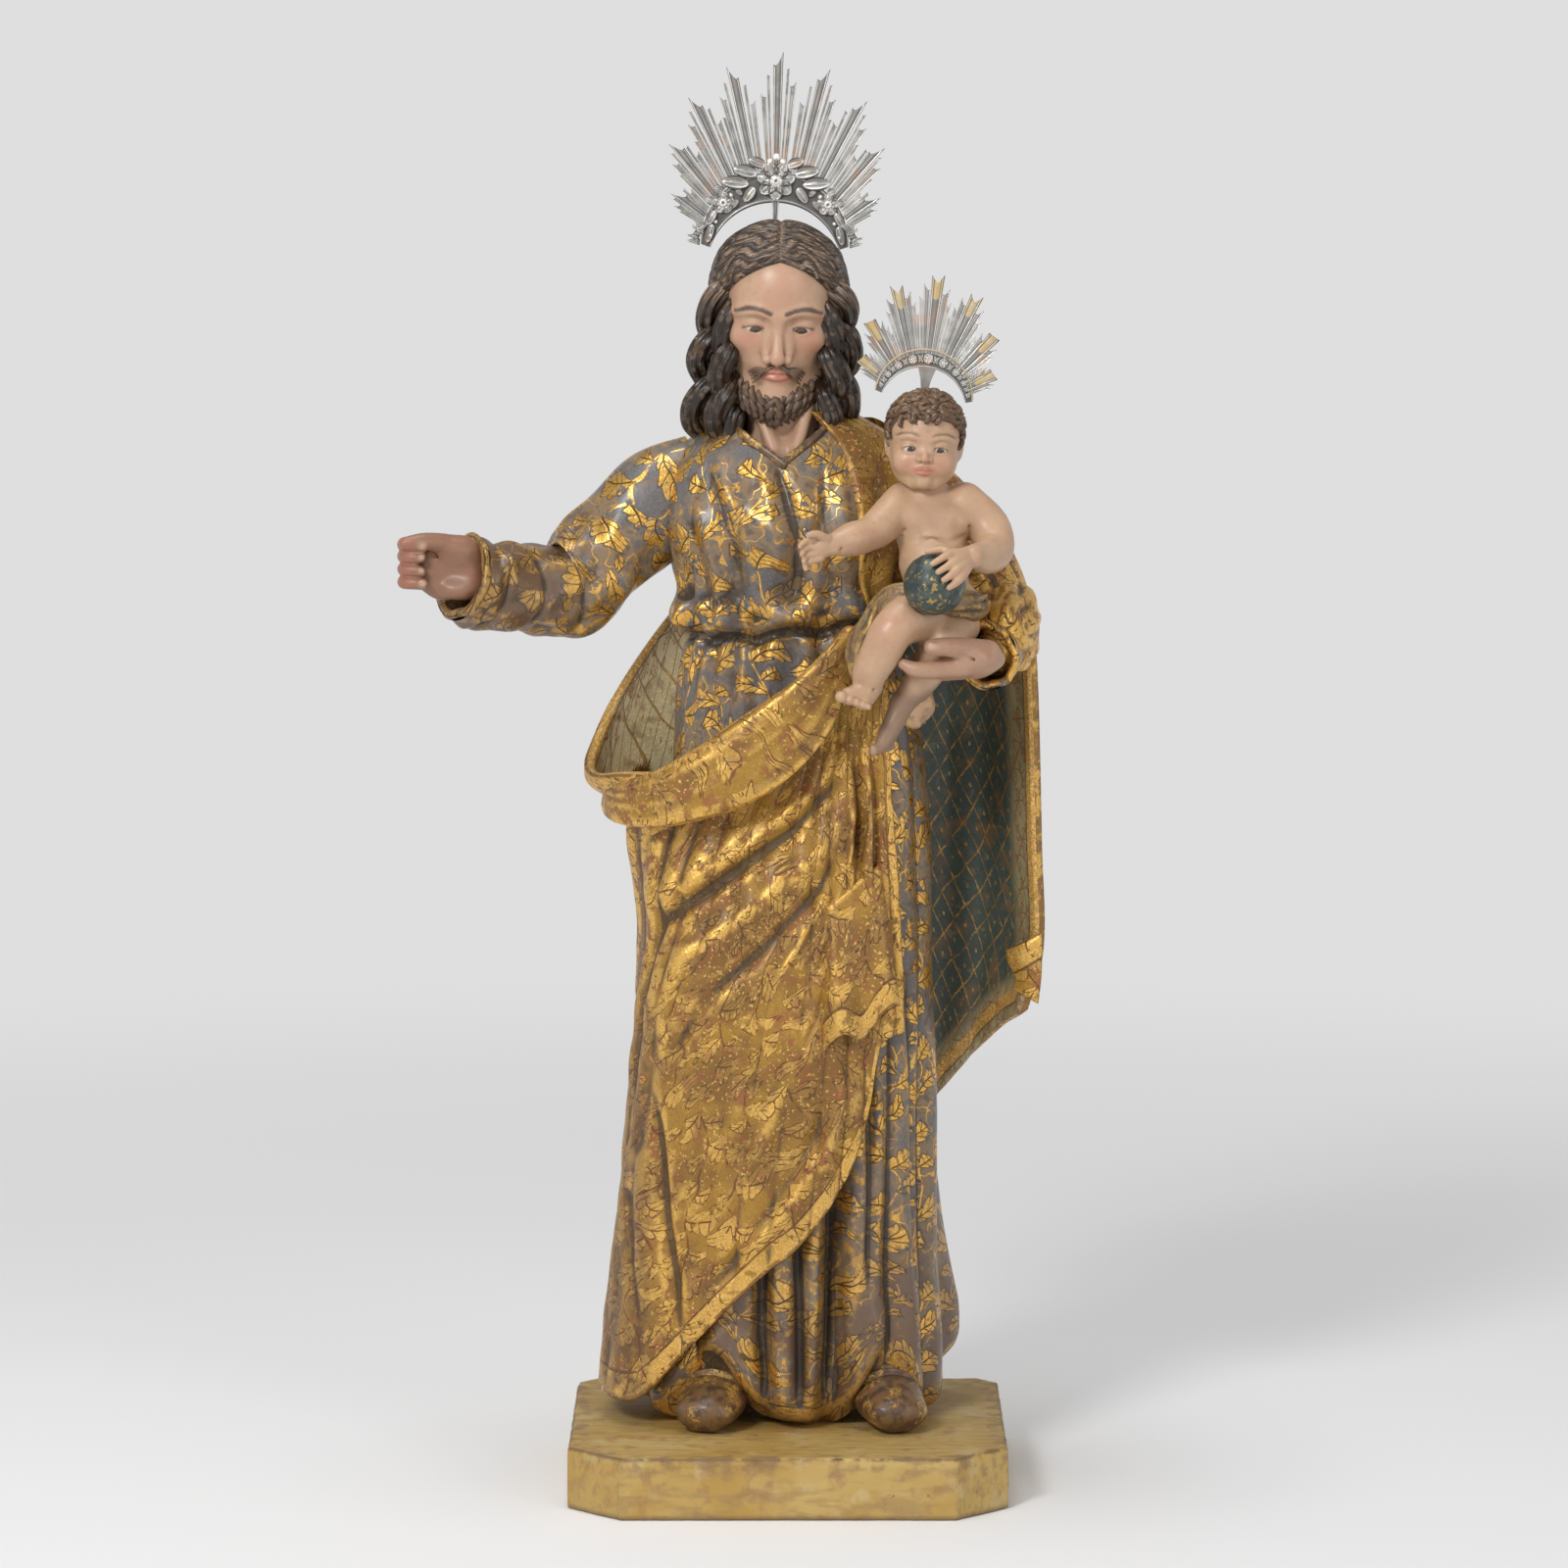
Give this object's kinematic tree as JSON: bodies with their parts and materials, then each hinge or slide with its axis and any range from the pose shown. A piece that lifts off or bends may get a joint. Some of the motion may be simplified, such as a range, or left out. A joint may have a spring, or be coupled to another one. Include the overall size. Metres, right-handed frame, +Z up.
{
  "type": "saint joseph statue",
  "caption": "Carved, painted and gilded wooden devotional statue of a standing bearded saint holding a seated child, with silver ray haloes, on a wooden base board.",
  "frame": {"origin": "middle of the base board's underside", "axes": "+Z up along the standing figure, the saint looks towards -Y, +X on the viewer's right"},
  "size_m": [0.269, 0.1625, 0.5995],
  "materials": {
    "painted_board": "worn mottled ochre paint",
    "gilded_carving": "worn paint over burnished gold leaf",
    "painted_flesh": "satin painted flesh tones",
    "painted_globe": "satin dark blue-green paint with worn gilding",
    "silver": "tarnished repousse silver"
  },
  "bodies": {
    "root": {"base_board": "painted_board", "saint": "gilded_carving", "saint_right_hand": "painted_flesh", "saint_left_hand": "painted_flesh", "child": "painted_flesh", "globe": "painted_globe", "saint_halo": "silver", "child_halo": "silver"}
  },
  "joints": []
}
